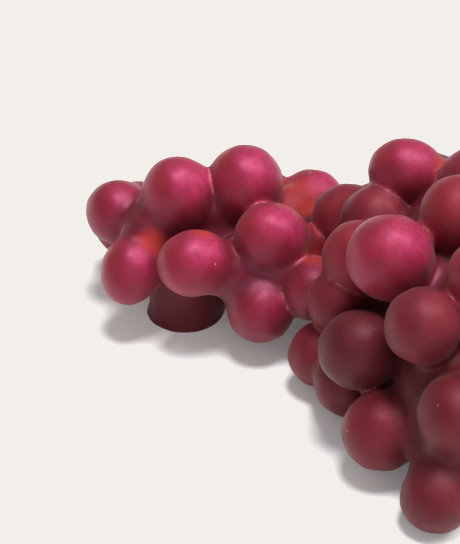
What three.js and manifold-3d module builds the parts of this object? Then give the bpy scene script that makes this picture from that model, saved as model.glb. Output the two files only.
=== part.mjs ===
// A cast bunch of grapes, lying on a table.
// It is one solid casting: full-size oval berries that run into each other and into a solid core through
// short necks, with small flats where it rests on the table, and a cut woody stem in a socket at its back.
// Millimetres, +Z up. The stem points to +Y and the tip of the bunch to -Y; the long shoulder is at -X.
import * as THREE from "three";
import { mergeVertices } from "three/addons/utils/BufferGeometryUtils.js";
import Module from "manifold-3d";

const wasm = await Module();
wasm.setup();

// Driving sizes.
const BERRY_RADIUS = 12; // a large red table grape is about 24 mm across
const FLAT_DEPTH = 1; // how much of a low berry is missing where it meets the table
const NECK_AT_BERRY = 0.6; // neck radius inside the berry, as a share of the berry's radius
const NECK_AT_CORE = 0.5; // and where it leaves the core
const SOCKET_GAP = 0.3; // air between the stem and its socket

// Places below are written from the foot of the long shoulder. The finished group is moved so that the
// origin is the middle of the whole thing's footprint, at table height.
const MIDDLE_OF_FOOTPRINT = new THREE.Vector3(60.3, -7.1, 0);

// How finely a round form is faceted.
const SEEN = { sides: 10, rings: 4 };
const HIDDEN = { sides: 7, rings: 3 };
const CORE_SIDES = 10;
const BALL_DETAIL = 1;
const FOOT_SIDES = 16;
const STEM_SIDES = 10;
const STEM_STEPS = 12;

// The core follows the branches of a real bunch: the main one from the stem to the tip, and the shoulder's.
// Each joint is a place and the core's radius there.
const CORE = {
  stemEnd: { at: [100, 26, 37], radius: 15 },
  shoulder: { at: [98, 12, 36], radius: 22 },
  heart: { at: [95, -14, 36], radius: 24 },
  belly: { at: [92, -42, 33], radius: 23 },
  waist: { at: [87, -66, 26], radius: 18 },
  tip: { at: [84, -86, 17], radius: 12 },
  wingRoot: { at: [60, 15, 21], radius: 13 },
  wingMiddle: { at: [30, 16, 23], radius: 13 },
  wingEnd: { at: [-2, 20, 24], radius: 13 },
};
const MAIN_BRANCH = ["stemEnd", "shoulder", "heart", "belly", "waist", "tip"];
const WING_BRANCH = ["shoulder", "wingRoot", "wingMiddle", "wingEnd"];

// Webs of resin that close the gaps between the berries of the long shoulder.
const WEBS = [
  { at: [-10, 15, 35], radius: 7.5 },
  { at: [13, 21, 38], radius: 8.5 },
  { at: [19, -3, 27], radius: 8.5 },
  { at: [34, -1, 28], radius: 8 },
  { at: [38, 28, 33], radius: 8 },
];

// The foot that carries the long shoulder: an upright stub, a little wider at the table.
const FOOT = { at: [2, 13.8], radius: 12.6, radiusAtTable: 13.6, height: 24 };

// The berries that give the bunch its face, one by one: centre, radius across, length as a share of the
// width, and the point on the branch that the berry's neck grows from. A centre without a height stands on
// the table, sunk by FLAT_DEPTH.
const FACE_BERRIES = [
  // The end of the long shoulder.
  { at: [-21, 26, 33], radius: 11.3, length: 1.03, from: "wingEnd" },
  { at: [-14, 34, 29], radius: 10.2, length: 1.0, from: "wingEnd" },
  { at: [-20, 40, 19], radius: 11.0, length: 1.0, from: "wingEnd" },
  { at: [-16, 4, 24], radius: 10.3, length: 1.2, from: [-11.5, 14, 33] },
  // Over the shoulder's foot.
  { at: [6, -5, 33], radius: 11.2, length: 1.16, from: [24, 4, 31] },
  { at: [0, 20, 45], radius: 12.5, length: 1.0, from: "wingEnd" },
  { at: [23, 23, 47], radius: 13.0, length: 1.02, from: "wingMiddle" },
  { at: [32, 2, 39], radius: 11.4, length: 1.16, from: [50, 9, 30] },
  { at: [28, -9, 17], radius: 11.4, length: 1.03, from: "wingMiddle" },
  // Behind the shoulder.
  { at: [47, 38, 30], radius: 11.2, length: 1.05, from: "wingRoot" },
  { at: [28, 42, 30], radius: 11.0, length: 1.0, from: "wingMiddle" },
  // Where the shoulder meets the body.
  { at: [58, 14, 38], radius: 12.4, length: 1.0, from: "wingRoot" },
  { at: [66, 1, 47], radius: 10.8, length: 1.0, from: [76, 10, 32] },
  { at: [77, 12, 58], radius: 11.7, length: 1.12, from: [99, 10, 54] },
  { at: [46, -9, 25], radius: 10.4, length: 1.05, from: "wingRoot" },
  { at: [60, -18, 44], radius: 12.4, length: 1.0, from: "heart" },
  // The body's near side, from the table up.
  { at: [48, -29, 13], radius: 10.8, length: 1.04, from: "heart" },
  { at: [56, -45, 14], radius: 11.4, length: 1.0, from: "belly" },
  { at: [65, -72, 16], radius: 12.4, length: 1.03, from: "waist" },
  { at: [80, -96], radius: 11.0, length: 1.0, from: "tip" },
  { at: [52, -31, 36], radius: 10.2, length: 1.0, from: "heart" },
  { at: [58, -54, 34], radius: 12.6, length: 1.02, from: "belly" },
  { at: [86, -86, 34], radius: 12.3, length: 1.0, from: "waist" },
  // The ridge along the top.
  { at: [67.8, -38, 58], radius: 13.6, length: 1.08, from: [92, -42, 50] },
  { at: [76, -67, 53], radius: 11.8, length: 1.08, from: "belly" },
  { at: [90, -26, 66], radius: 12.7, length: 1.0, from: "heart" },
  { at: [95, -58, 64], radius: 12.2, length: 1.0, from: "belly" },
  { at: [98, 0, 62], radius: 11.8, length: 1.0, from: "shoulder" },
];

// The rest stand in rows. A row bends from its start past its middle to its end, and a row without heights
// is on the table.
const BERRY_ROWS = [
  { place: "far side, on the table", path: [[104, -86], [150, -40], [140, 28]], count: 6, facets: SEEN },
  { place: "far middle", path: [[109, -76, 34], [142, -36, 36], [132, 18, 36]], count: 5, facets: SEEN },
  { place: "far upper", path: [[112, -62, 52], [124, -22, 64], [120, 8, 58]], count: 4, facets: SEEN },
  { place: "top, between", path: [[98, -80, 45], [102, -62, 52], [106, -44, 56]], count: 2, facets: SEEN },
  { place: "back, on the table", path: [[2, 43], [60, 45], [120, 48]], count: 6, facets: SEEN },
  { place: "back, middle", path: [[70, 34, 26], [98, 44, 24], [126, 36, 32]], count: 3, facets: SEEN },
  { place: "beside the stem", path: [[84, 25, 44], [98, 27, 46], [114, 26, 48]], count: 2, facets: SEEN },
  { place: "under the shoulder", path: [[24, 20], [60, 12], [114, 10]], count: 5, facets: HIDDEN },
  { place: "under the middle", path: [[72, -16], [96, -16], [121, -16]], count: 3, facets: HIDDEN },
  { place: "under the near end", path: [[74, -56], [92, -48], [110, -44]], count: 2, facets: HIDDEN },
  { place: "under the waist", path: [[88, -70], [92, -68], [96, -66]], count: 1, facets: HIDDEN },
];
const ROW_RADIUS_SPREAD = 0.07; // a berry in a row is up to this share larger or smaller
const ROW_PLACE_SPREAD = 1.6; // and stands up to this far from its place
const ROW_LENGTH = 1.04;
const DRAW_SEED = 20;

// The stem: a woody stalk with a knuckle where a tendril broke off, and a flared cut end. Its path starts
// in the socket, and the socket takes the first SOCKET_STEPS of the path's STEM_STEPS.
const STEM_PATH = [[99, 20, 40], [100, 33, 42], [102, 46, 44], [107, 62, 43], [114, 77, 39], [122, 90, 31]];
const STEM_RADIUS = 3.3;
const SOCKET_STEPS = 4;
const KNUCKLE_AT = 0.62; // its place along the stalk, as a share of the length
const KNUCKLE_RADIUS = 4.6;
const CUT_END_LENGTH = 5;
const CUT_END_RADIUS = 4.2;

// A repeatable draw from -1 to 1, by the usual linear congruence.
function makeDraw(seed) {
  const MULTIPLIER = 1103;
  const INCREMENT = 12345;
  const MODULUS = 65536;
  let state = seed;
  return () => {
    state = (state * MULTIPLIER + INCREMENT) % MODULUS;
    return (2 * state) / MODULUS - 1;
  };
}

const point = ([x, y, z = 0]) => new THREE.Vector3(x, y, z);
const branchPoint = (from) => (typeof from === "string" ? point(CORE[from].at) : point(from));

// The point on either branch that lies nearest to a place.
function nearestOnBranches(place) {
  let best = null;
  for (const branch of [MAIN_BRANCH, WING_BRANCH]) {
    for (let i = 1; i < branch.length; i++) {
      const piece = new THREE.Line3(branchPoint(branch[i - 1]), branchPoint(branch[i]));
      const near = piece.closestPointToPoint(place, true, new THREE.Vector3());
      if (!best || near.distanceTo(place) < best.distanceTo(place)) best = near;
    }
  }
  return best;
}

// The berries of all rows, in the same form as FACE_BERRIES.
function rowBerries() {
  const draw = makeDraw(DRAW_SEED);
  const berries = [];
  for (const row of BERRY_ROWS) {
    const curve = new THREE.QuadraticBezierCurve3(...row.path.map(point));
    for (let i = 0; i < row.count; i++) {
      const place = curve.getPoint(row.count > 1 ? i / (row.count - 1) : 0.5).toArray();
      const radius = BERRY_RADIUS * (1 + ROW_RADIUS_SPREAD * draw());
      const at = place.slice(0, row.path[0].length).map((value) => value + ROW_PLACE_SPREAD * draw());
      berries.push({ at, radius, length: ROW_LENGTH, facets: row.facets });
    }
  }
  return berries;
}

const MERGE_DISTANCE = 1e-4;

// A three.js geometry as a solid that can be joined and cut. A turned form has empty triangles at its
// poles, which are left out.
function solid(geometry) {
  geometry.deleteAttribute("normal");
  geometry.deleteAttribute("uv");
  const merged = mergeVertices(geometry, MERGE_DISTANCE);
  const triangles = [];
  for (let i = 0; i < merged.index.count; i += 3) {
    const [a, b, c] = merged.index.array.slice(i, i + 3);
    if (a !== b && b !== c && c !== a) triangles.push(a, b, c);
  }
  return new wasm.Manifold(
    new wasm.Mesh({
      numProp: 3,
      vertProperties: merged.attributes.position.array,
      triVerts: new Uint32Array(triangles),
    }),
  );
}

// The turn that takes a form made along +Y to another direction.
const FORM_AXIS = new THREE.Vector3(0, 1, 0);
const turnTo = (direction) =>
  new THREE.Quaternion().setFromUnitVectors(FORM_AXIS, direction.clone().normalize());

// A tapered round bar from one point to another.
function bar(start, end, startRadius, endRadius, sides) {
  const along = end.clone().sub(start);
  const geometry = new THREE.CylinderGeometry(endRadius, startRadius, along.length(), sides);
  geometry.applyQuaternion(turnTo(along));
  geometry.translate(...start.clone().addScaledVector(along, 0.5).toArray());
  return solid(geometry);
}

function ball(centre, radius, detail) {
  return solid(new THREE.IcosahedronGeometry(radius, detail).translate(...centre.toArray()));
}

// One berry and its neck, turned as one about the neck's direction: the neck widens from the branch, the
// berry's oval takes over where the neck is NECK_AT_BERRY wide, and closes at its far end.
function berrySolid({ at, radius, length, from, facets = SEEN }) {
  const centre = point([at[0], at[1], at[2] ?? radius - FLAT_DEPTH]);
  const root = from ? branchPoint(from) : nearestOnBranches(centre);
  const outward = centre.clone().sub(root);
  const middle = outward.length();
  const halfLength = radius * length;
  const rootHeight = Math.min(0, middle - halfLength);
  const profile = [
    new THREE.Vector2(0, rootHeight),
    new THREE.Vector2(radius * NECK_AT_CORE, rootHeight),
  ];
  const takeOver = -Math.acos(NECK_AT_BERRY);
  for (let i = 0; i <= facets.rings; i++) {
    const angle = THREE.MathUtils.lerp(takeOver, Math.PI / 2, i / facets.rings);
    const across = i === facets.rings ? 0 : radius * Math.cos(angle);
    profile.push(new THREE.Vector2(across, middle + halfLength * Math.sin(angle)));
  }
  const geometry = new THREE.LatheGeometry(profile, facets.sides);
  geometry.applyQuaternion(turnTo(outward));
  return solid(geometry.translate(...root.toArray()));
}

// The core: a ball at each joint of the branches and for each web, and a tapered bar between neighbours.
function coreSolids() {
  const balls = [...Object.values(CORE), ...WEBS];
  const solids = balls.map(({ at, radius }) => ball(point(at), radius, BALL_DETAIL));
  for (const branch of [MAIN_BRANCH, WING_BRANCH]) {
    for (let i = 1; i < branch.length; i++) {
      const [a, b] = [CORE[branch[i - 1]], CORE[branch[i]]];
      solids.push(bar(point(a.at), point(b.at), a.radius, b.radius, CORE_SIDES));
    }
  }
  return solids;
}

// The foot starts under the table's surface, where belowTable cuts it flat.
function footSolid() {
  const [x, y] = FOOT.at;
  const [bottom, top] = [point([x, y, -FLAT_DEPTH]), point([x, y, FOOT.height])];
  return bar(bottom, top, FOOT.radiusAtTable, FOOT.radius, FOOT_SIDES);
}

// The stalk's round bar, from its start in the socket to one of its STEM_STEPS.
function stalk(radius, end) {
  const curve = new THREE.CatmullRomCurve3(STEM_PATH.map(point));
  const points = curve.getSpacedPoints(STEM_STEPS).slice(0, end + 1);
  const section = new THREE.Shape().absarc(0, 0, radius, 0, 2 * Math.PI);
  const extrudePath = new THREE.CatmullRomCurve3(points);
  return solid(
    new THREE.ExtrudeGeometry(section, { steps: end, curveSegments: STEM_SIDES / 2, extrudePath }),
  );
}

function stemSolid() {
  const curve = new THREE.CatmullRomCurve3(STEM_PATH.map(point));
  const end = curve.getPoint(1);
  const back = curve.getTangent(1).multiplyScalar(-CUT_END_LENGTH).add(end);
  return wasm.Manifold.union([
    stalk(STEM_RADIUS, STEM_STEPS),
    ball(curve.getPointAt(KNUCKLE_AT), KNUCKLE_RADIUS, BALL_DETAIL),
    bar(back, end, STEM_RADIUS, CUT_END_RADIUS, STEM_SIDES),
  ]);
}

// The socket is the stalk's first stretch, wider by the gap, with a ball at its bottom.
function socketSolid() {
  const radius = STEM_RADIUS + SOCKET_GAP;
  return stalk(radius, SOCKET_STEPS).add(ball(point(STEM_PATH[0]), radius, BALL_DETAIL));
}

// A block under the table's surface, larger than the bunch.
function belowTable() {
  const size = 500;
  return solid(new THREE.BoxGeometry(size, size, size).translate(0, 0, -size / 2));
}

// Cavities that the berries close off inside are filled: only the outer skin is kept.
function withoutCavities(body) {
  return wasm.Manifold.compose(body.decompose().filter((shell) => shell.volume() > 0));
}

function grapesSolid() {
  const berries = [...FACE_BERRIES, ...rowBerries()];
  const joined = wasm.Manifold.union([...coreSolids(), footSolid(), ...berries.map(berrySolid)]);
  return withoutCavities(joined).subtract(socketSolid()).subtract(belowTable());
}

function meshOf(name, body, material) {
  const { numProp, numVert, vertProperties, triVerts } = body.getMesh();
  const positions = new Float32Array(numVert * 3);
  for (let i = 0; i < numVert; i++) {
    positions.set(vertProperties.subarray(i * numProp, i * numProp + 3), i * 3);
  }
  const geometry = new THREE.BufferGeometry();
  geometry.setAttribute("position", new THREE.BufferAttribute(positions, 3));
  geometry.setIndex(new THREE.BufferAttribute(triVerts, 1));
  geometry.computeVertexNormals();
  const mesh = new THREE.Mesh(geometry, material);
  mesh.name = name;
  return mesh;
}

const berrySkin = new THREE.MeshStandardMaterial({ color: 0x8f2440, roughness: 0.42, metalness: 0.1 });
const dryWood = new THREE.MeshStandardMaterial({ color: 0x4a2f22, roughness: 0.8, metalness: 0 });

const bunch = new THREE.Group();
bunch.name = "bunch_of_grapes";
bunch.position.copy(MIDDLE_OF_FOOTPRINT).negate();
bunch.add(meshOf("grapes", grapesSolid(), berrySkin));
bunch.add(meshOf("stem", stemSolid(), dryWood));

export default bunch;
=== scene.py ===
import math

import bmesh
import bpy
import numpy as np
from mathutils import Matrix, Vector


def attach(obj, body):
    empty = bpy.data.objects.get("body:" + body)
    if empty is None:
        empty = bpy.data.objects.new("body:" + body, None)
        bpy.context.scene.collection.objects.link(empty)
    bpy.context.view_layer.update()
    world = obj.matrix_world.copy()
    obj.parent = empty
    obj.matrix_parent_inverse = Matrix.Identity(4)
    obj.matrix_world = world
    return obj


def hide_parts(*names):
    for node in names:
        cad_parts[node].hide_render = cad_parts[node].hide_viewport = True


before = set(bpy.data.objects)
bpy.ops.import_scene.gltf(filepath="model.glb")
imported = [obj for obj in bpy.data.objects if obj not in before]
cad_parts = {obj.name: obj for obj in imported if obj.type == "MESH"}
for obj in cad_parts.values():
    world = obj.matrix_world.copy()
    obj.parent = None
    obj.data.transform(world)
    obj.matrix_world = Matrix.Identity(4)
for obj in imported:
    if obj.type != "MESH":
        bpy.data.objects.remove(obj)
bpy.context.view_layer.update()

# The middle of the casting. A bunch carries its berries on a branched stalk. In a cast bunch that
# stalk is the solid middle of the same pour, and the berries' necks grow out of it.

# Places are in mm from the foot of the long shoulder. The finished meshes are moved so that the middle of
# the whole footprint is the origin.
footprint_middle = np.array([60.3, -7.1, 0.0])

# Each joint of the branches: its place, and the radius of the middle there.
branch_joints = {
    "stem_end": ([100, 26, 37], 15),
    "shoulder": ([98, 12, 36], 22),
    "heart": ([95, -14, 36], 24),
    "belly": ([92, -42, 33], 22.5),
    "waist": ([87, -66, 26], 16.5),
    "tip": ([84, -86, 17], 11),
    "wing_root": ([60, 15, 21], 13),
    "wing_middle": ([30, 16, 23], 13),
    "wing_end": ([-2, 20, 24], 13),
}
branch_runs = [
    ("stem_end", "shoulder"),
    ("shoulder", "heart"),
    ("heart", "belly"),
    ("belly", "waist"),
    ("waist", "tip"),
    ("shoulder", "wing_root"),
    ("wing_root", "wing_middle"),
    ("wing_middle", "wing_end"),
]

# Where the master's gaps were stopped with wax, the casting has a web of resin: a centre and a radius.
webs = [
    ([-10, 15, 35], 7.5),
    ([13, 21, 38], 8.5),
    ([19, -3, 27], 8.5),
    ([34, -1, 28], 8),
    ([38, 28, 33], 8),
]
branch_flow = 6.0  # mm within which branches and webs run into each other


def flow_together(first, second, reach):
    """Where two cast forms come within reach of each other, the pour rounds the corner between them."""
    share = np.clip(0.5 + 0.5 * (second - first) / reach, 0, 1)
    return second + share * (first - second) - reach * share * (1 - share)


def height_over_branches(points):
    """How far each point stands off the surface of the casting's middle, in mm."""
    nearest = None
    for first, second in branch_runs:
        start, start_radius = branch_joints[first]
        end, end_radius = branch_joints[second]
        run = np.subtract(end, start).astype(float)
        share = np.clip((points - start) @ run / (run @ run), 0, 1)
        radius = start_radius + share * (end_radius - start_radius)
        height = np.linalg.norm(points - start - share[:, None] * run, axis=1) - radius
        nearest = height if nearest is None else flow_together(nearest, height, branch_flow)
    for centre, radius in webs:
        height = np.linalg.norm(points - centre, axis=1) - radius
        nearest = flow_together(nearest, height, branch_flow)
    return nearest


# The foot under the long shoulder. It is an upright stub of the same pour, which keeps that end off the
# table, and a little wider where the resin met the board that the mould stood on.
foot_centre = (2, 13.8)
foot_radius = 12.6
foot_top = 24
foot_spread = 1.0  # how much wider it is at the table,
spread_height = 2.5  # and the height over which most of that is gone


def height_over_foot(points):
    """How far each point stands off the foot, in mm."""
    x, y, z = points.T
    radius = foot_radius + foot_spread * np.exp(-np.clip(z, 0, None) / spread_height)
    return np.maximum(np.hypot(x - foot_centre[0], y - foot_centre[1]) - radius, z - foot_top)


# The berries. Each is an oval that runs down a thick neck into the middle, as the master was made from a
# real bunch with its gaps filled, so that a mould could be pulled off it.
flat_depth = 1.0  # how far a berry that lies on the table is sunk in it
neck_at_root = 0.5  # the neck's radius where it leaves the middle, as a share of its berry's,
neck_widening = 0.1  # and how much more it is inside the berry
neck_flow = 2.0  # mm within which a berry runs into its own neck

# First the ones that give the bunch its face: centre, radius, length for its width, root of its neck, and
# how dull its lacquer is and how dark its painted shade, from 0 to 1. The near end and the low berries are
# the dullest and carry the most painted shade.
face_berries = [
    ([-21, 26, 33], 11.3, 1.03, "wing_end", 0.25),
    ([-14, 34, 29], 10.2, 1.0, "wing_end", 0.4),
    ([-20, 40, 19], 11.0, 1.0, "wing_end", 0.5),
    ([-16, 4, 24], 10.3, 1.2, [-11.5, 14, 33], 0.2),
    ([6, -5, 33], 11.2, 1.16, [24, 4, 31], 0.1),
    ([0, 20, 45], 12.5, 1.0, "wing_end", 0.05),
    ([23, 23, 47], 13.0, 1.02, "wing_middle", 0.0),
    ([32, 2, 39], 11.4, 1.16, [50, 9, 30], 0.0),
    ([28, -9, 17], 11.4, 1.03, "wing_middle", 0.32),
    ([47, 38, 30], 11.2, 1.05, "wing_root", 0.15),
    ([28, 42, 30], 11.0, 1.0, "wing_middle", 0.3),
    ([58, 14, 38], 12.4, 1.0, "wing_root", 0.6),
    ([66, 1, 47], 10.8, 1.0, [76, 10, 32], 0.7),
    ([77, 12, 58], 11.7, 1.12, [99, 10, 54], 0.15),
    ([46, -9, 25], 10.4, 1.05, "wing_root", 0.35),
    ([60, -20, 45.5], 12.4, 1.0, "heart", 0.5),
    ([48, -29, 13], 10.8, 1.04, "heart", 0.7),
    ([56, -45, 14], 11.4, 1.0, "belly", 0.85),
    ([65, -72, 16], 12.4, 1.03, "waist", 0.75),
    ([80, -96, 11.0 - flat_depth], 11.0, 1.0, "tip", 0.9),
    ([53, -25.5, 32], 10.4, 1.0, "heart", 0.75),
    ([58, -54, 34], 12.6, 1.02, "belly", 1.0),
    ([86, -86, 34], 12.3, 1.0, "waist", 0.85),
    ([67.8, -38, 58], 13.6, 1.04, [86, -28, 44], 0.1),
    ([76, -67, 53], 11.8, 1.08, "belly", 0.8),
    ([90, -26, 66], 12.7, 1.0, "heart", 0.45),
    ([95, -58, 64], 12.2, 1.0, "belly", 0.5),
    ([98, 0, 62], 11.8, 1.0, "shoulder", 0.3),
]

# The rest stand in bent rows: start, middle and end of the bend, and how many berries. A row without
# heights lies on the table.
berry_rows = [
    ([[104, -86], [150, -40], [140, 28]], 6),
    ([[109, -76, 34], [142, -36, 36], [132, 18, 36]], 5),
    ([[112, -62, 52], [124, -22, 64], [120, 8, 58]], 4),
    ([[98, -80, 45], [102, -62, 52], [106, -44, 56]], 2),
    ([[2, 43], [60, 45], [120, 48]], 6),
    ([[70, 34, 26], [98, 44, 24], [126, 36, 32]], 3),
    ([[84, 25, 44], [98, 27, 46], [114, 26, 48]], 2),
    ([[24, 20], [60, 12], [114, 10]], 5),
    ([[72, -16], [96, -16], [121, -16]], 3),
    ([[74, -56], [92, -48], [110, -44]], 2),
    ([[88, -70], [92, -68], [96, -66]], 1),
]
row_radius = 12  # a large red table grape is about 24 mm across
row_length = 1.04  # the oval's length for its width
radius_spread = 0.07  # a berry in a row is up to this share larger or smaller,
place_spread = 1.6  # and stands up to this many mm from its place
draw_state = 20


def draw():
    """The next number of a fixed list from -1 to 1, which also placed the rows in the solid model."""
    global draw_state
    draw_state = (draw_state * 1103 + 12345) % 65536
    return 2 * draw_state / 65536 - 1


def nearest_on_branches(place):
    """The point on the branches' middle lines that lies nearest to a place."""
    best = None
    for first, second in branch_runs:
        start = np.array(branch_joints[first][0], float)
        run = np.array(branch_joints[second][0], float) - start
        spot = start + np.clip((place - start) @ run / (run @ run), 0, 1) * run
        if best is None or np.linalg.norm(spot - place) < np.linalg.norm(best - place):
            best = spot
    return best


centres = []
radii = []
lengths = []
roots = []
dullness_and_shade = []
for centre, radius, length, root, dull_and_shade in face_berries:
    centres.append(centre)
    radii.append(radius)
    lengths.append(length)
    roots.append(branch_joints[root][0] if isinstance(root, str) else root)
    dullness_and_shade.append(dull_and_shade)
for bend, count in berry_rows:
    start, middle, end = [np.array(place, float) for place in bend]
    for number in range(count):
        share = number / (count - 1) if count > 1 else 0.5
        place = (1 - share) ** 2 * start + 2 * share * (1 - share) * middle + share ** 2 * end
        radius = row_radius * (1 + radius_spread * draw())
        place = [value + place_spread * draw() for value in place]
        if len(place) == 2:
            place.append(radius - flat_depth)
        centres.append(place)
        radii.append(radius)
        lengths.append(row_length)
        roots.append(nearest_on_branches(np.array(place)))
        # Duller and darker towards the table and the near end, partly painted shade, and no two berries
        # quite alike.
        dull_and_shade = 0.55 - 0.006 * (place[2] - 20) - 0.003 * place[1]
        dullness_and_shade.append(dull_and_shade + 0.12 * math.sin(7 * len(roots)))
centres = np.array(centres, float)
radii = np.array(radii, float)
lengths = np.array(lengths, float)
roots = np.array(roots, float)
dullness_and_shade = np.clip(dullness_and_shade, 0, 1)
neck_lengths = np.linalg.norm(centres - roots, axis=1)
outward = (centres - roots) / neck_lengths[:, None]


def heights_over_berries(points, which):
    """How far each point stands off some of the berries with their necks, in mm."""
    away = points[:, None, :] - centres[which]
    along = (away * outward[which]).sum(axis=2)
    across = np.clip((away ** 2).sum(axis=2) - along ** 2, 0, None)
    oval = np.sqrt(across + (along / lengths[which]) ** 2) - radii[which]
    share = np.clip(1 + along / neck_lengths[which], 0, 1)
    past = along - (share - 1) * neck_lengths[which]
    neck = np.sqrt(across + past ** 2) - radii[which] * (neck_at_root + neck_widening * share)
    return flow_together(oval, neck, neck_flow)


berries_in_reach = 7
points_at_once = 8000  # which keeps the memory small


def nearest_berries(points):
    """The few berries that lie nearest to each point. The rest are too far off to shape it."""
    nearest = np.empty((len(points), berries_in_reach), int)
    everyone = np.arange(len(centres))[None]
    for first in range(0, len(points), points_at_once):
        last = first + points_at_once
        heights = heights_over_berries(points[first:last], everyone)
        nearest[first:last] = np.argpartition(heights, berries_in_reach, axis=1)[:, :berries_in_reach]
    return nearest


swell_height = 0.16  # mm
ripple_height = 0.07


def unevenness(points):
    """Berries are never true ovals: low swellings 9 to 20 mm long and a quarter of a mm high."""
    x, y, z = points.T
    swell = np.sin(0.42 * x + 0.9 * np.sin(0.31 * y + 1.0)) * np.sin(0.38 * z + 0.7 * np.sin(0.35 * x))
    ripple = np.sin(0.71 * y + 1.3 * np.sin(0.52 * z)) * np.sin(0.66 * x + 0.5)
    return swell_height * swell + ripple_height * ripple


berry_fillet = 1.25  # mm within which two berries run into each other,
middle_flow = 5.0  # a berry into the middle,
foot_flow = 4.0  # and the foot into the middle


def height_over_casting(points, which):
    """How far each point stands off the skin of the whole casting, in mm."""
    berries = heights_over_berries(points, which)
    lowest = berries.min(axis=1)
    closeness = np.exp((lowest[:, None] - berries) / berry_fillet).sum(axis=1)
    berry = lowest - berry_fillet * np.log(closeness)
    middle = flow_together(height_over_branches(points), height_over_foot(points), foot_flow)
    return flow_together(berry, middle, middle_flow) + unevenness(points)


# The casting's skin. Rough balls and bars are melted into one even net, and every point of the net is
# then moved onto the true surface, where the corners between berries are rounded as resin rounds them.
net_size = 1.25  # mm
foot_bar_radius = 13
foot_bar_start = -1  # under the table, so that the net goes round its edge


def upright_to(direction):
    """The turn that takes a form made along +Z to a direction."""
    return Vector((0, 0, 1)).rotation_difference(Vector(direction)).to_matrix().to_4x4()


def put_in_scene(name, data):
    """An object for a mesh, a lamp or a camera, linked to the scene."""
    holder = bpy.data.objects.new(name, data)
    bpy.context.scene.collection.objects.link(holder)
    return holder


rough = bmesh.new()
for centre, radius, length, root, direction in zip(centres, radii, lengths, roots, outward):
    turn = upright_to(direction)
    oval = Matrix.Translation(centre) @ turn @ Matrix.Diagonal((radius, radius, radius * length, 1))
    bmesh.ops.create_icosphere(rough, subdivisions=4, radius=1, matrix=oval)
    bmesh.ops.create_cone(
        rough,
        cap_ends=True,
        segments=24,
        radius1=neck_at_root * radius,
        radius2=(neck_at_root + neck_widening) * radius,
        depth=float(np.linalg.norm(centre - root)),
        matrix=Matrix.Translation((centre + root) / 2) @ turn,
    )
for centre, radius in list(branch_joints.values()) + webs:
    bmesh.ops.create_icosphere(rough, subdivisions=4, radius=radius, matrix=Matrix.Translation(centre))
for first, second in branch_runs:
    start = Vector(branch_joints[first][0])
    end = Vector(branch_joints[second][0])
    bmesh.ops.create_cone(
        rough,
        cap_ends=True,
        segments=32,
        radius1=branch_joints[first][1],
        radius2=branch_joints[second][1],
        depth=(end - start).length,
        matrix=Matrix.Translation((start + end) / 2) @ upright_to(end - start),
    )
bmesh.ops.create_cone(
    rough,
    cap_ends=True,
    segments=48,
    radius1=foot_bar_radius,
    radius2=foot_bar_radius,
    depth=foot_top - foot_bar_start,
    matrix=Matrix.Translation((*foot_centre, (foot_top + foot_bar_start) / 2)),
)
rough_mesh = bpy.data.meshes.new("rough_casting")
rough.to_mesh(rough_mesh)
rough.free()
rough_casting = put_in_scene("rough_casting", rough_mesh)
melt = rough_casting.modifiers.new("melt", "REMESH")
melt.mode = "VOXEL"
melt.voxel_size = net_size
melted = rough_casting.evaluated_get(bpy.context.evaluated_depsgraph_get())
skin_mesh = bpy.data.meshes.new_from_object(melted)
bpy.data.objects.remove(rough_casting)

# Pockets that the berries close off inside are left out: only the outer skin is kept.
skin = bmesh.new()
skin.from_mesh(skin_mesh)
skin.verts.ensure_lookup_table()
part_of = [-1] * len(skin.verts)
part_sizes = []
for vert in skin.verts:
    if part_of[vert.index] >= 0:
        continue
    part_of[vert.index] = len(part_sizes)
    reached = [vert]
    for current in reached:
        for edge in current.link_edges:
            other = edge.other_vert(current)
            if part_of[other.index] < 0:
                part_of[other.index] = len(part_sizes)
                reached.append(other)
    part_sizes.append(len(reached))
outer = part_sizes.index(max(part_sizes))
inner_verts = [vert for vert in skin.verts if part_of[vert.index] != outer]
bmesh.ops.delete(skin, geom=inner_verts, context="VERTS")
skin.to_mesh(skin_mesh)
skin.free()

# The net settles on the true surface. In each round a point moves along the slope of its height, and then
# slides along the skin towards the middle of its neighbours, which keeps the net even.
rounds = 5
probe = 0.05  # mm to the side, to feel the slope
least_steepness = 0.2  # the slope's square is taken as no less than this, so that no point shoots off
longest_move = 0.9  # mm in one round
evening = 0.5  # share of the way to the middle of the neighbours
points = np.empty(len(skin_mesh.vertices) * 3)
skin_mesh.vertices.foreach_get("co", points)
points = points.reshape(-1, 3)
ends = np.empty(len(skin_mesh.edges) * 2, int)
skin_mesh.edges.foreach_get("vertices", ends)
ends = ends.reshape(-1, 2)
neighbours = np.bincount(ends.ravel(), minlength=len(points))
which = nearest_berries(points)
for round_number in range(rounds):
    height = height_over_casting(points, which)
    slope = np.stack([
        (height_over_casting(points + probe * axis, which) - height) / probe for axis in np.eye(3)
    ], axis=1)
    steepness = (slope ** 2).sum(axis=1)
    move = -(height / np.clip(steepness, least_steepness, None))[:, None] * slope
    move_length = np.linalg.norm(move, axis=1)
    move *= np.minimum(1, longest_move / np.clip(move_length, 1e-6, None))[:, None]
    points = points + move
    around = np.zeros_like(points)
    np.add.at(around, ends[:, 0], points[ends[:, 1]])
    np.add.at(around, ends[:, 1], points[ends[:, 0]])
    slide = around / neighbours[:, None] - points
    normal = slope / np.sqrt(np.clip(steepness, 1e-6, None))[:, None]
    slide -= (slide * normal).sum(axis=1)[:, None] * normal
    if round_number < rounds - 1:
        points = points + evening * slide
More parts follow.
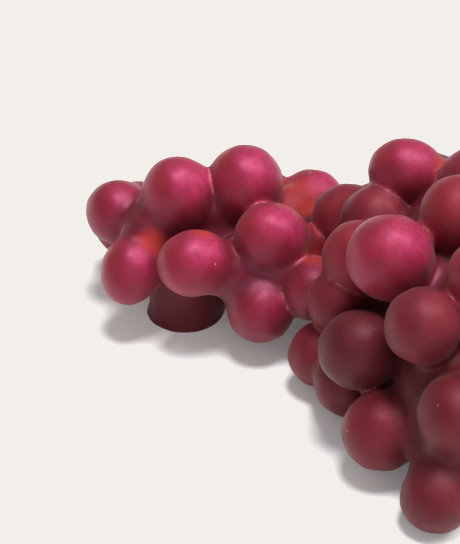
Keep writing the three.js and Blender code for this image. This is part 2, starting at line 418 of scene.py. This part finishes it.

# What the finish needs to know of each point: how near the crease between two berries it lies, how far out
# on its berry, how high over the middle, and how dull and how darkened by painted shade its berry is. The
# foot is dull, darkened by painted shade, and has no crease.
foot_edge = 0.5  # mm over which a berry's finish turns into the foot's
far_from_crease = 9  # mm
foot_dullness_and_shade = 0.95
heights = heights_over_berries(points, which)
ranked = np.argsort(heights, axis=1)[:, :2]
pair = np.take_along_axis(heights, ranked, axis=1)
nearest_berry = which[np.arange(len(points)), ranked[:, 0]]
on_foot = 1 / (1 + np.exp((height_over_foot(points) - pair[:, 0]) / foot_edge))
crease = pair[:, 1] - pair[:, 0] + far_from_crease * on_foot
away = points - centres[nearest_berry]
away /= np.linalg.norm(away, axis=1)[:, None]
outness = (away * outward[nearest_berry]).sum(axis=1)
over_middle = height_over_branches(points)
skin_dullness_and_shade = dullness_and_shade[nearest_berry] * (1 - on_foot) + foot_dullness_and_shade * on_foot

# Painted highlight: a brighter magenta on the skin that faces the light above the near right side, strongest
# where it faces it squarely. There is less of it deep in the bunch, where shade falls, and hardly any on the
# necks.
highlight_side = np.array([0.42, -0.36, 0.83])
first_highlight = 0.55  # how squarely the skin has to face the light to get any painted highlight,
highlight_range = 0.42  # and how much more squarely to get all of it
highlight_falloff = 1.7
unshaded_height = 5  # mm over the middle above which no painted shade holds the highlight back,
least_highlight_inside = 0.1  # and the share of the highlight kept below that
neck_outness = -0.4  # farther in than this is neck,
neck_range = 0.5
painted_pearl_highlight = np.clip((normal @ highlight_side - first_highlight) / highlight_range, 0, 1) ** highlight_falloff
highlight_kept_inside = np.clip(over_middle / unshaded_height, least_highlight_inside, 1)
painted_pearl_highlight *= highlight_kept_inside * np.clip(1 + (outness - neck_outness) / neck_range, 0, 1)

# On some necks and webs in the lee of a berry the spray is so thin that the resin shows: a centre and a
# reach for each.
thin_spots = [
    ([40, 29, 32], 15),
    ([89, 9, 60], 9),
    ([-9, 7, 33], 7),
    ([9, -1, 45], 6.5),
    ([36, 6, 46], 5),
    ([47, -4, 34], 7),
    ([76, -12, 40], 12),
]
spot_edge = 1.6  # how quickly a spot fills in from its rim
thin_spray = np.zeros(len(points))
for centre, reach in thin_spots:
    nearness = 1 - np.linalg.norm(points - centre, axis=1) / reach
    thin_spray = np.maximum(thin_spray, np.clip(nearness * spot_edge, 0, 1))

points[:, 2] = np.clip(points[:, 2], 0, None)
skin_mesh.vertices.foreach_set("co", ((points - footprint_middle) / 1000).ravel())
for name, values in [
    ("crease_mm", crease),
    ("outness", outness),
    ("over_middle_mm", over_middle),
    ("dullness_and_shade", skin_dullness_and_shade),
    ("painted_pearl_highlight", painted_pearl_highlight),
    ("thin_spray", thin_spray),
]:
    layer = skin_mesh.attributes.new(name, "FLOAT", "POINT")
    layer.data.foreach_set("value", values.astype(np.float32))
skin_mesh.shade_smooth()
skin_mesh.update()
casting = put_in_scene("casting", skin_mesh)


def linear(hex_colour):
    """An sRGB hex colour as the linear values that a shader takes."""
    values = [int(hex_colour[first:first + 2], 16) / 255 for first in (1, 3, 5)]
    return tuple(
        value / 12.92 if value <= 0.04045 else ((value + 0.055) / 1.055) ** 2.4 for value in values
    ) + (1,)


def add_node(material, kind, settings=None, links=None):
    """A node with its settings, and its inputs set to a value or linked to another node's output."""
    node = material.node_tree.nodes.new(kind)
    for setting, value in (settings or {}).items():
        setattr(node, setting, value)
    for socket, value in (links or {}).items():
        if isinstance(value, bpy.types.NodeSocket):
            material.node_tree.links.new(value, node.inputs[socket])
        else:
            node.inputs[socket].default_value = value
    return node


def start_material(name):
    """An empty node material."""
    material = bpy.data.materials.new(name)
    material.use_nodes = True
    material.node_tree.nodes.clear()
    return material


# Cast polyester resin, dyed orange-red and sprayed with a crimson pearl lacquer. The pearl is satin: broad
# soft magenta lights and no sharp ones, with a painted magenta highlight on the skin that faces the light.
# The low berries and the near end get a weaker painted highlight and are darker, partly a duller lacquer and
# partly painted shade: a dull dark wine red with a slight haze. Where the spray hardly reached, the resin's
# red shows.

# The dull and shade range is the dullness from which the darkest colour, partly painted shade, comes in, and
# the one where it is strongest.
# Crease highlight is how strongly the painted highlight lines along the creases show.
finishes = [
    {
        "name": "crimson_pearl_lacquer_on_resin",
        "thin_coat": "#5C0C17",
        "thick_coat": "#841A2A",
        "painted_pearl_highlight": "#9A234B",
        "darkest_dull_and_shaded": "#58141D",
        "dull_and_shade_range": (0.1, 0.5),
        "gloss_tint": "#FF9EC5",
        "gloss_level": 0.6,
        "roughness": 0.46,
        "haze": 0.14,
        "crease_highlight": 0.45,
    },
    {
        "name": "dull_wine_lacquer_with_painted_shade",
        "thin_coat": "#580F19",
        "thick_coat": "#7E1E2A",
        "painted_pearl_highlight": "#8A2738",
        "darkest_dull_and_shaded": "#360B0F",
        "dull_and_shade_range": (0.5, 1.0),
        "gloss_tint": "#FFC4CE",
        "gloss_level": 0.32,
        "roughness": 0.52,
        "haze": 0.09,
        "crease_highlight": 0.25,
    },
]
wine_from = 0.42  # skin duller and darker with painted shade than this has the second finish
for finish in finishes:
    resin = start_material(finish["name"])
    on_casting = add_node(resin, "ShaderNodeTexCoord").outputs["Object"]
    skin_value = {}
    for name in ("crease_mm", "outness", "over_middle_mm", "dullness_and_shade", "painted_pearl_highlight", "thin_spray"):
        skin_value[name] = add_node(resin, "ShaderNodeAttribute", {"attribute_name": name}).outputs["Fac"]

    # The spray lies in clouds about 10 mm across, with streaks 2 mm wide where it ran before it dried.
    cloud = add_node(resin, "ShaderNodeTexNoise", {}, {
        "Vector": on_casting, "Scale": 100.0, "Detail": 3.0, "Roughness": 0.55})
    run_down = add_node(resin, "ShaderNodeMapping", {}, {
        "Vector": on_casting, "Rotation": (0.4, 0.5, 0.0), "Scale": (500.0, 500.0, 70.0)})
    streaks = add_node(resin, "ShaderNodeTexNoise", {}, {
        "Vector": run_down.outputs["Vector"], "Scale": 1.0, "Detail": 2.0, "Distortion": 0.6})
    sprayed = add_node(resin, "ShaderNodeMix", {"data_type": "RGBA"}, {
        "Factor": cloud.outputs["Fac"], "A": linear(finish["thin_coat"]), "B": linear(finish["thick_coat"])})
    streaky = add_node(resin, "ShaderNodeMapRange", {}, {
        "Value": streaks.outputs["Fac"],
        "From Min": 0.36, "From Max": 0.62, "To Min": 0.55, "To Max": 1.1})
    highlight_share = add_node(resin, "ShaderNodeMath", {"operation": "MULTIPLY", "use_clamp": True}, {
        0: skin_value["painted_pearl_highlight"], 1: streaky.outputs["Result"]})
    # Painted highlight: the magenta laid on the skin that faces the light.
    highlighted = add_node(resin, "ShaderNodeMix", {"data_type": "RGBA"}, {
        "Factor": highlight_share.outputs[0], "A": sprayed.outputs["Result"], "B": linear(finish["painted_pearl_highlight"])})
    dull_and_shade_share = add_node(resin, "ShaderNodeMapRange", {}, {
        "Value": skin_value["dullness_and_shade"],
        "From Min": finish["dull_and_shade_range"][0], "From Max": finish["dull_and_shade_range"][1],
        "To Min": 0.0, "To Max": 0.8})
    # Partly painted shade: the low berries, the near end and the foot are darkened towards the darkest
    # colour.
    dulled_and_shaded = add_node(resin, "ShaderNodeMix", {"data_type": "RGBA"}, {
        "Factor": dull_and_shade_share.outputs["Result"], "A": highlighted.outputs["Result"], "B": linear(finish["darkest_dull_and_shaded"])})

    # Bare resin: at the thinly sprayed spots, and a little in every crease near the necks.
    in_crease = add_node(resin, "ShaderNodeMapRange", {"interpolation_type": "SMOOTHSTEP"}, {
        "Value": skin_value["crease_mm"],
        "From Min": 0.4, "From Max": 4.0, "To Min": 0.35, "To Max": 0.0})
    near_root = add_node(resin, "ShaderNodeMapRange", {"interpolation_type": "SMOOTHSTEP"}, {
        "Value": skin_value["outness"],
        "From Min": -0.9, "From Max": 0.1, "To Min": 1.0, "To Max": 0.0})
    crease_bare = add_node(resin, "ShaderNodeMath", {"operation": "MULTIPLY"}, {
        0: in_crease.outputs["Result"], 1: near_root.outputs["Result"]})
    patchy = add_node(resin, "ShaderNodeMapRange", {}, {
        "Value": cloud.outputs["Fac"],
        "From Min": 0.3, "From Max": 0.6, "To Min": 0.75, "To Max": 1.0})
    spray_bare = add_node(resin, "ShaderNodeMath", {"operation": "MULTIPLY"}, {
        0: skin_value["thin_spray"], 1: patchy.outputs["Result"]})
    bare = add_node(resin, "ShaderNodeMath", {"operation": "MAXIMUM"}, {
        0: crease_bare.outputs[0], 1: spray_bare.outputs[0]})
    lacquered = add_node(resin, "ShaderNodeMix", {"data_type": "RGBA"}, {
        "Factor": bare.outputs[0], "A": dulled_and_shaded.outputs["Result"], "B": linear("#982818")})

    # Painted shade: darker in the deep gaps between berries, within 7 mm of the middle, though not at the
    # thinly sprayed spots.
    gap_shade_depth = add_node(resin, "ShaderNodeMapRange", {"interpolation_type": "SMOOTHSTEP"}, {
        "Value": skin_value["over_middle_mm"],
        "From Min": 0.0, "From Max": 7.0, "To Min": 0.7, "To Max": 0.0})
    painted_gap_shade = add_node(resin, "ShaderNodeMath", {"operation": "SUBTRACT", "use_clamp": True}, {
        0: gap_shade_depth.outputs["Result"], 1: spray_bare.outputs[0]})
    # The colour of the painted shade in the gaps.
    gap_shaded = add_node(resin, "ShaderNodeMix", {"data_type": "RGBA"}, {
        "Factor": painted_gap_shade.outputs[0], "A": lacquered.outputs["Result"], "B": linear("#3A0B13")})

    # Painted highlight: thin pale lines along some of the creases, where the small rounded corners between
    # berries catch the light, drawn about 1 mm wide so that they show.
    at_crease_line = add_node(resin, "ShaderNodeMapRange", {"interpolation_type": "SMOOTHSTEP"}, {
        "Value": skin_value["crease_mm"],
        "From Min": 0.2, "From Max": 1.0, "To Min": 1.0, "To Max": 0.0})
    highlighted_crease_parts = add_node(resin, "ShaderNodeMapRange", {"interpolation_type": "SMOOTHSTEP"}, {
        "Value": cloud.outputs["Fac"],
        "From Min": 0.42, "From Max": 0.52, "To Min": 0.0, "To Max": finish["crease_highlight"]})
    outer_crease = add_node(resin, "ShaderNodeMapRange", {"interpolation_type": "SMOOTHSTEP"}, {
        "Value": skin_value["over_middle_mm"],
        "From Min": 0.6, "From Max": 2.0, "To Min": 0.0, "To Max": 1.0})
    some_crease_lines = add_node(resin, "ShaderNodeMath", {"operation": "MULTIPLY"}, {
        0: at_crease_line.outputs["Result"], 1: highlighted_crease_parts.outputs["Result"]})
    crease_highlight = add_node(resin, "ShaderNodeMath", {"operation": "MULTIPLY"}, {
        0: some_crease_lines.outputs[0], 1: outer_crease.outputs["Result"]})
    # The painted highlight's pale colour along the creases.
    crease_highlighted = add_node(resin, "ShaderNodeMix", {"data_type": "RGBA"}, {
        "Factor": crease_highlight.outputs[0], "A": gap_shaded.outputs["Result"], "B": linear("#B8707C")})

    # Dust and pinholes: one pale speck, half a mm across, in some of the cells, which are 7 mm wide.
    cells = add_node(resin, "ShaderNodeTexVoronoi", {}, {"Vector": on_casting, "Scale": 150.0})
    speck_core = add_node(resin, "ShaderNodeMapRange", {}, {
        "Value": cells.outputs["Distance"],
        "From Min": 0.02, "From Max": 0.06, "To Min": 0.7, "To Max": 0.0})
    chosen = add_node(resin, "ShaderNodeSeparateColor", {}, {"Color": cells.outputs["Color"]})
    some_cells = add_node(resin, "ShaderNodeMath", {"operation": "GREATER_THAN"}, {
        0: chosen.outputs["Red"], 1: 0.6})
    specks = add_node(resin, "ShaderNodeMath", {"operation": "MULTIPLY"}, {
        0: speck_core.outputs["Result"], 1: some_cells.outputs[0]})
    specked = add_node(resin, "ShaderNodeMix", {"data_type": "RGBA"}, {
        "Factor": specks.outputs[0], "A": crease_highlighted.outputs["Result"], "B": linear("#D9A8AE")})

    # The skin of the mould: fine orange peel, drawn 1 mm across, coarser than the real one, so that it
    # shows. In patches the lacquer has shrunk into wrinkles about 1.5 mm apart.
    orange_peel = add_node(resin, "ShaderNodeTexNoise", {}, {
        "Vector": on_casting, "Scale": 900.0, "Detail": 2.0})
    wrinkles = add_node(resin, "ShaderNodeTexNoise", {"noise_type": "RIDGED_MULTIFRACTAL"}, {
        "Vector": on_casting, "Scale": 330.0, "Detail": 1.0, "Distortion": 1.2})
    wrinkled_parts = add_node(resin, "ShaderNodeMapRange", {"interpolation_type": "SMOOTHSTEP"}, {
        "Value": cloud.outputs["Fac"],
        "From Min": 0.5, "From Max": 0.62, "To Min": 0.1, "To Max": 1.8})
    wrinkle_height = add_node(resin, "ShaderNodeMath", {"operation": "MULTIPLY"}, {
        0: wrinkles.outputs["Fac"], 1: wrinkled_parts.outputs["Result"]})
    streak_height = add_node(resin, "ShaderNodeMath", {"operation": "MULTIPLY_ADD"}, {
        0: streaks.outputs["Fac"], 1: 0.5, 2: orange_peel.outputs["Fac"]})
    relief = add_node(resin, "ShaderNodeMath", {"operation": "SUBTRACT"}, {
        0: streak_height.outputs[0], 1: wrinkle_height.outputs[0]})
    peel = add_node(resin, "ShaderNodeBump", {}, {
        "Height": relief.outputs[0], "Strength": 0.18, "Distance": 0.0003})
    rougher_bare = add_node(resin, "ShaderNodeMapRange", {}, {
        "Value": bare.outputs[0], "To Min": finish["roughness"], "To Max": 0.75})
    lacquer = add_node(resin, "ShaderNodeBsdfPrincipled", {}, {
        "Base Color": specked.outputs["Result"],
        "Roughness": rougher_bare.outputs["Result"],
        "Normal": peel.outputs["Normal"],
        "IOR": 1.5,
        "Specular IOR Level": finish["gloss_level"],
        "Specular Tint": linear(finish["gloss_tint"]),
        "Sheen Weight": finish["haze"],
        "Sheen Roughness": 0.5,
        "Sheen Tint": linear("#E0BCC2")})
    add_node(resin, "ShaderNodeOutputMaterial", {}, {"Surface": lacquer.outputs["BSDF"]})
    skin_mesh.materials.append(resin)
face_points = np.empty(len(skin_mesh.loops), int)
skin_mesh.loops.foreach_get("vertex_index", face_points)
face_starts = np.empty(len(skin_mesh.polygons), int)
skin_mesh.polygons.foreach_get("loop_start", face_starts)
in_wine = skin_dullness_and_shade[face_points[face_starts]] > wine_from
skin_mesh.polygons.foreach_set("material_index", in_wine.astype(np.int32))
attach(casting, "root")
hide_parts("grapes")

# The stem. A real dried vine stalk, cut off clean and glued into a hole at the back of the casting: ribbed
# bark, a knuckle where a tendril broke off, and a paler cut end that flares a little.
stem_path = [
    Vector((99, 20, 40)),
    Vector((100, 33, 42)),
    Vector((102, 46, 44)),
    Vector((107, 62, 43)),
    Vector((114, 77, 39)),
    Vector((122, 90, 31)),
]
stem_rings = 150
stem_sides = 56
stem_radius = 3.3
bark_depth = 0.15  # the ribs stand on a bar that is thinner by this
knuckle_height = 1.25
knuckle_place = 0.62  # as a share of the stalk's length,
knuckle_reach = 0.035  # and how far it spreads, as a share of it too
flare_height = 0.9
flare_length = 5
twist_per_mm = 0.02  # the ribs wind slowly round the stalk
broad_rib = 0.16
fine_rib = 0.09
bump = 0.12
cut_rings = (0.93, 0.6, 0.25)  # rings of points on a cut face, as shares of its width


def bend_through(places, share):
    """The place at a share of a smooth bend that runs through all the places."""
    padded = [2 * places[0] - places[1]] + places + [2 * places[-1] - places[-2]]
    span = min(int(share * (len(places) - 1)), len(places) - 2)
    along = share * (len(places) - 1) - span
    before, start, end, after = padded[span:span + 4]
    twice = 2 * start + (end - before) * along
    twice += (2 * before - 5 * start + 4 * end - after) * along ** 2
    twice += (3 * start - before - 3 * end + after) * along ** 3
    return 0.5 * twice


def around_stem(number):
    """The angle of one of the stalk's sides."""
    return 2 * math.pi * number / stem_sides


stem = bmesh.new()
bend = [bend_through(stem_path, number / (stem_rings - 1)) for number in range(stem_rings)]
run_length = sum((there - here).length for here, there in zip(bend, bend[1:]))
side = Vector((1, 0, 0))
rings = []
places_on_stalk = []
cut_face = []
gone = 0.0
for ring_number, here in enumerate(bend):
    following = bend[min(ring_number + 1, stem_rings - 1)]
    ahead = (following - bend[max(ring_number - 1, 0)]).normalized()
    side = (side - side.dot(ahead) * ahead).normalized()
    other = ahead.cross(side)
    if ring_number:
        gone += (here - bend[ring_number - 1]).length
    knuckle = knuckle_height * math.exp(-((gone / run_length - knuckle_place) / knuckle_reach) ** 2)
    flare = flare_height * max(0.0, 1 - (run_length - gone) / flare_length) ** 1.5
    ring = []
    for number in range(stem_sides):
        angle = around_stem(number)
        twist = angle + twist_per_mm * gone
        ribs = broad_rib * math.sin(7 * twist + 0.6 * math.sin(3 * angle))
        ribs += fine_rib * math.sin(13 * twist + 0.05 * gone)
        bumps = bump * math.sin(0.55 * gone + 2 * math.sin(2 * angle)) * math.sin(2 * angle + 0.2 * gone)
        radius = stem_radius - bark_depth + knuckle + flare + ribs + bumps
        spot = here + radius * (math.cos(angle) * side + math.sin(angle) * other)
        ring.append(stem.verts.new((spot - Vector(footprint_middle)) / 1000))
        places_on_stalk.append((stem_radius * math.cos(twist), stem_radius * math.sin(twist), gone))
        cut_face.append(0.0)
    rings.append(ring)
for ring, next_ring in zip(rings, rings[1:]):
    for number in range(stem_sides):
        after = (number + 1) % stem_sides
        stem.faces.new((ring[number], ring[after], next_ring[after], next_ring[number]))
for ring, here, faces_ahead in [(rings[0], bend[0], False), (rings[-1], bend[-1], True)]:
    centre = (here - Vector(footprint_middle)) / 1000
    previous = ring
    for share in cut_rings:
        inner = []
        for number in range(stem_sides):
            inner.append(stem.verts.new(centre + share * (ring[number].co - centre)))
            out = share * stem_radius
            angle = around_stem(number)
            places_on_stalk.append((out * math.cos(angle), out * math.sin(angle), 0))
            cut_face.append(1.0)
        for number in range(stem_sides):
            after = (number + 1) % stem_sides
            corners = [previous[number], previous[after], inner[after], inner[number]]
            stem.faces.new(corners if faces_ahead else corners[::-1])
        previous = inner
    pith = stem.verts.new(centre)
    places_on_stalk.append((0, 0, 0))
    cut_face.append(1.0)
    for number in range(stem_sides):
        corners = [previous[number], previous[(number + 1) % stem_sides], pith]
        stem.faces.new(corners if faces_ahead else corners[::-1])
bmesh.ops.recalc_face_normals(stem, faces=stem.faces)
stem_mesh = bpy.data.meshes.new("stalk")
stem.to_mesh(stem_mesh)
stem.free()
place_layer = stem_mesh.attributes.new("stalk_place_mm", "FLOAT_VECTOR", "POINT")
place_layer.data.foreach_set("vector", np.array(places_on_stalk, np.float32).ravel())
cut_layer = stem_mesh.attributes.new("cut_face", "FLOAT", "POINT")
cut_layer.data.foreach_set("value", np.array(cut_face, np.float32))
stem_mesh.shade_smooth()
stalk = put_in_scene("stalk", stem_mesh)

# Dried vine wood: dull grey-brown bark with dark furrows along it and small pale pores, and a paler cut
# end with fine rings round a brown pith.
vine_wood = start_material("dried_vine_wood")
stalk_at = add_node(vine_wood, "ShaderNodeAttribute", {"attribute_name": "stalk_place_mm"})
cut_at = add_node(vine_wood, "ShaderNodeAttribute", {"attribute_name": "cut_face"})

# The fibres of the bark are about 0.8 mm apart and run 10 mm along the stalk. The pores are 0.4 mm wide,
# twice as long, and about 1.3 mm apart.
along_fibres = add_node(vine_wood, "ShaderNodeMapping", {}, {
    "Vector": stalk_at.outputs["Vector"], "Scale": (1.3, 1.3, 0.1)})
fibres = add_node(vine_wood, "ShaderNodeTexNoise", {}, {
    "Vector": along_fibres.outputs["Vector"],
    "Scale": 1.0, "Detail": 5.0, "Roughness": 0.6, "Distortion": 0.4})
weathered = add_node(vine_wood, "ShaderNodeValToRGB", {}, {"Fac": fibres.outputs["Fac"]})
weathered.color_ramp.elements[0].position = 0.34
weathered.color_ramp.elements[0].color = linear("#2A1B14")
weathered.color_ramp.elements[1].position = 0.66
weathered.color_ramp.elements[1].color = linear("#8A6C54")
weathered.color_ramp.elements.new(0.5).color = linear("#573E30")
pore_spread = add_node(vine_wood, "ShaderNodeMapping", {}, {
    "Vector": stalk_at.outputs["Vector"], "Scale": (0.8, 0.8, 0.35)})
pores = add_node(vine_wood, "ShaderNodeTexVoronoi", {}, {
    "Vector": pore_spread.outputs["Vector"], "Scale": 1.0})
pore_core = add_node(vine_wood, "ShaderNodeMapRange", {"interpolation_type": "SMOOTHSTEP"}, {
    "Value": pores.outputs["Distance"],
    "From Min": 0.12, "From Max": 0.22, "To Min": 0.7, "To Max": 0.0})
bark = add_node(vine_wood, "ShaderNodeMix", {"data_type": "RGBA"}, {
    "Factor": pore_core.outputs["Result"], "A": weathered.outputs["Color"], "B": linear("#A98C70")})

# The cut end: growth rings 0.5 mm apart, and a pith 1.4 mm across.
ring_spacing = 0.5
from_pith = add_node(vine_wood, "ShaderNodeVectorMath", {"operation": "LENGTH"}, {
    0: stalk_at.outputs["Vector"]})
ring_turns = add_node(vine_wood, "ShaderNodeMath", {"operation": "MULTIPLY"}, {
    0: from_pith.outputs["Value"], 1: 2 * math.pi / ring_spacing})
ring_wave = add_node(vine_wood, "ShaderNodeMath", {"operation": "SINE"}, {0: ring_turns.outputs[0]})
ring_share = add_node(vine_wood, "ShaderNodeMapRange", {}, {
    "Value": ring_wave.outputs[0], "From Min": -1.0})
ringed = add_node(vine_wood, "ShaderNodeMix", {"data_type": "RGBA"}, {
    "Factor": ring_share.outputs["Result"], "A": linear("#9C7A54"), "B": linear("#B8976C")})
in_pith = add_node(vine_wood, "ShaderNodeMapRange", {"interpolation_type": "SMOOTHSTEP"}, {
    "Value": from_pith.outputs["Value"],
    "From Min": 0.5, "From Max": 0.9, "To Min": 1.0, "To Max": 0.0})
cut_wood = add_node(vine_wood, "ShaderNodeMix", {"data_type": "RGBA"}, {
    "Factor": in_pith.outputs["Result"], "A": ringed.outputs["Result"], "B": linear("#5E402A")})
stalk_colour = add_node(vine_wood, "ShaderNodeMix", {"data_type": "RGBA"}, {
    "Factor": cut_at.outputs["Fac"], "A": bark.outputs["Result"], "B": cut_wood.outputs["Result"]})
furrows = add_node(vine_wood, "ShaderNodeBump", {}, {
    "Height": fibres.outputs["Fac"], "Strength": 0.6, "Distance": 0.0006})
wood = add_node(vine_wood, "ShaderNodeBsdfPrincipled", {}, {
    "Base Color": stalk_colour.outputs["Result"],
    "Roughness": 0.8,
    "Normal": furrows.outputs["Normal"],
    "Specular IOR Level": 0.3})
add_node(vine_wood, "ShaderNodeOutputMaterial", {}, {"Surface": wood.outputs["BSDF"]})
stem_mesh.materials.append(vine_wood)
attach(stalk, "root")
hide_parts("stem")

# The table: a sheet of pale matt paper, without gloss, and large enough that its edge is never seen. Its
# tone drifts a very little, in clouds 0.2 m across, and it glows a little: painted light that lightens its
# shadows and lights the casting from below.
table_reach = 40  # metres each way
tone_clouds = 400  # along the sheet
table_mesh = bpy.data.meshes.new("table")
table_top = bmesh.new()
bmesh.ops.create_grid(table_top, x_segments=1, y_segments=1, size=table_reach)
table_top.to_mesh(table_mesh)
table_top.free()
table = put_in_scene("table", table_mesh)
paper = start_material("pale_matt_paper")
tone = add_node(paper, "ShaderNodeTexNoise", {}, {"Scale": tone_clouds, "Detail": 3.0})
paper_tone = add_node(paper, "ShaderNodeMix", {"data_type": "RGBA"}, {
    "Factor": tone.outputs["Fac"], "A": linear("#F4F3F2"), "B": linear("#F8F7F6")})
matt = add_node(paper, "ShaderNodeBsdfPrincipled", {}, {
    "Base Color": paper_tone.outputs["Result"],
    "Roughness": 0.9,
    "Specular IOR Level": 0.1,
    # A faint painted glow. The paper is no lamp.
    "Emission Color": linear("#FFFFFF"),
    "Emission Strength": 0.08})
add_node(paper, "ShaderNodeOutputMaterial", {}, {"Surface": matt.outputs["BSDF"]})
table_mesh.materials.append(paper)

# The light: a pale room, a large soft light overhead, and weaker ones on the right and in front. The
# paper is lit until it burns out, and a tone curve levels it off there to one even, slightly warm tone.
room = bpy.data.worlds.new("pale_room")
room.use_nodes = True
room_light = room.node_tree.nodes["Background"]
room_light.inputs["Color"].default_value = linear("#FAF9F8")
room_light.inputs["Strength"].default_value = 0.4
bpy.context.scene.world = room
for name, towards, strength, width in [
    ("overhead", (0.08, 0.0, 1.0), 3.0, 20),
    ("from_the_right", (0.6, 0.0, 0.8), 1.5, 30),
    ("from_the_front", (0.05, -0.93, 0.36), 0.7, 60),
]:
    lamp = bpy.data.lights.new(name, "SUN")
    lamp.energy = strength
    lamp.angle = math.radians(width)
    lamp_holder = put_in_scene(name, lamp)
    lamp_holder.rotation_euler = Vector(towards).to_track_quat("Z", "Y").to_euler()
view = bpy.context.scene.view_settings
view.view_transform = "Standard"
view.use_curve_mapping = True
for curve, paper_level in zip(view.curve_mapping.curves, linear("#F2EFEA")):
    curve.points[0].location = (0, 0)
    curve.points[1].location = (paper_level, paper_level)
    for curve_point in curve.points:
        curve_point.handle_type = "VECTOR"
view.curve_mapping.extend = "HORIZONTAL"
view.curve_mapping.update()

# The camera looks down at 35 degrees from about 0.65 m away, through a long lens, so that near and far
# berries keep nearly the same size.
lens = bpy.data.cameras.new("camera")
lens.sensor_width = 36
lens.lens = 123.88
lens.clip_start = 0.01
lens.clip_end = 100
camera = put_in_scene("camera", lens)
camera.location = (-0.0426, -0.5132, 0.3902)
camera.rotation_euler = (math.radians(55), 0, 0)
bpy.context.scene.camera = camera
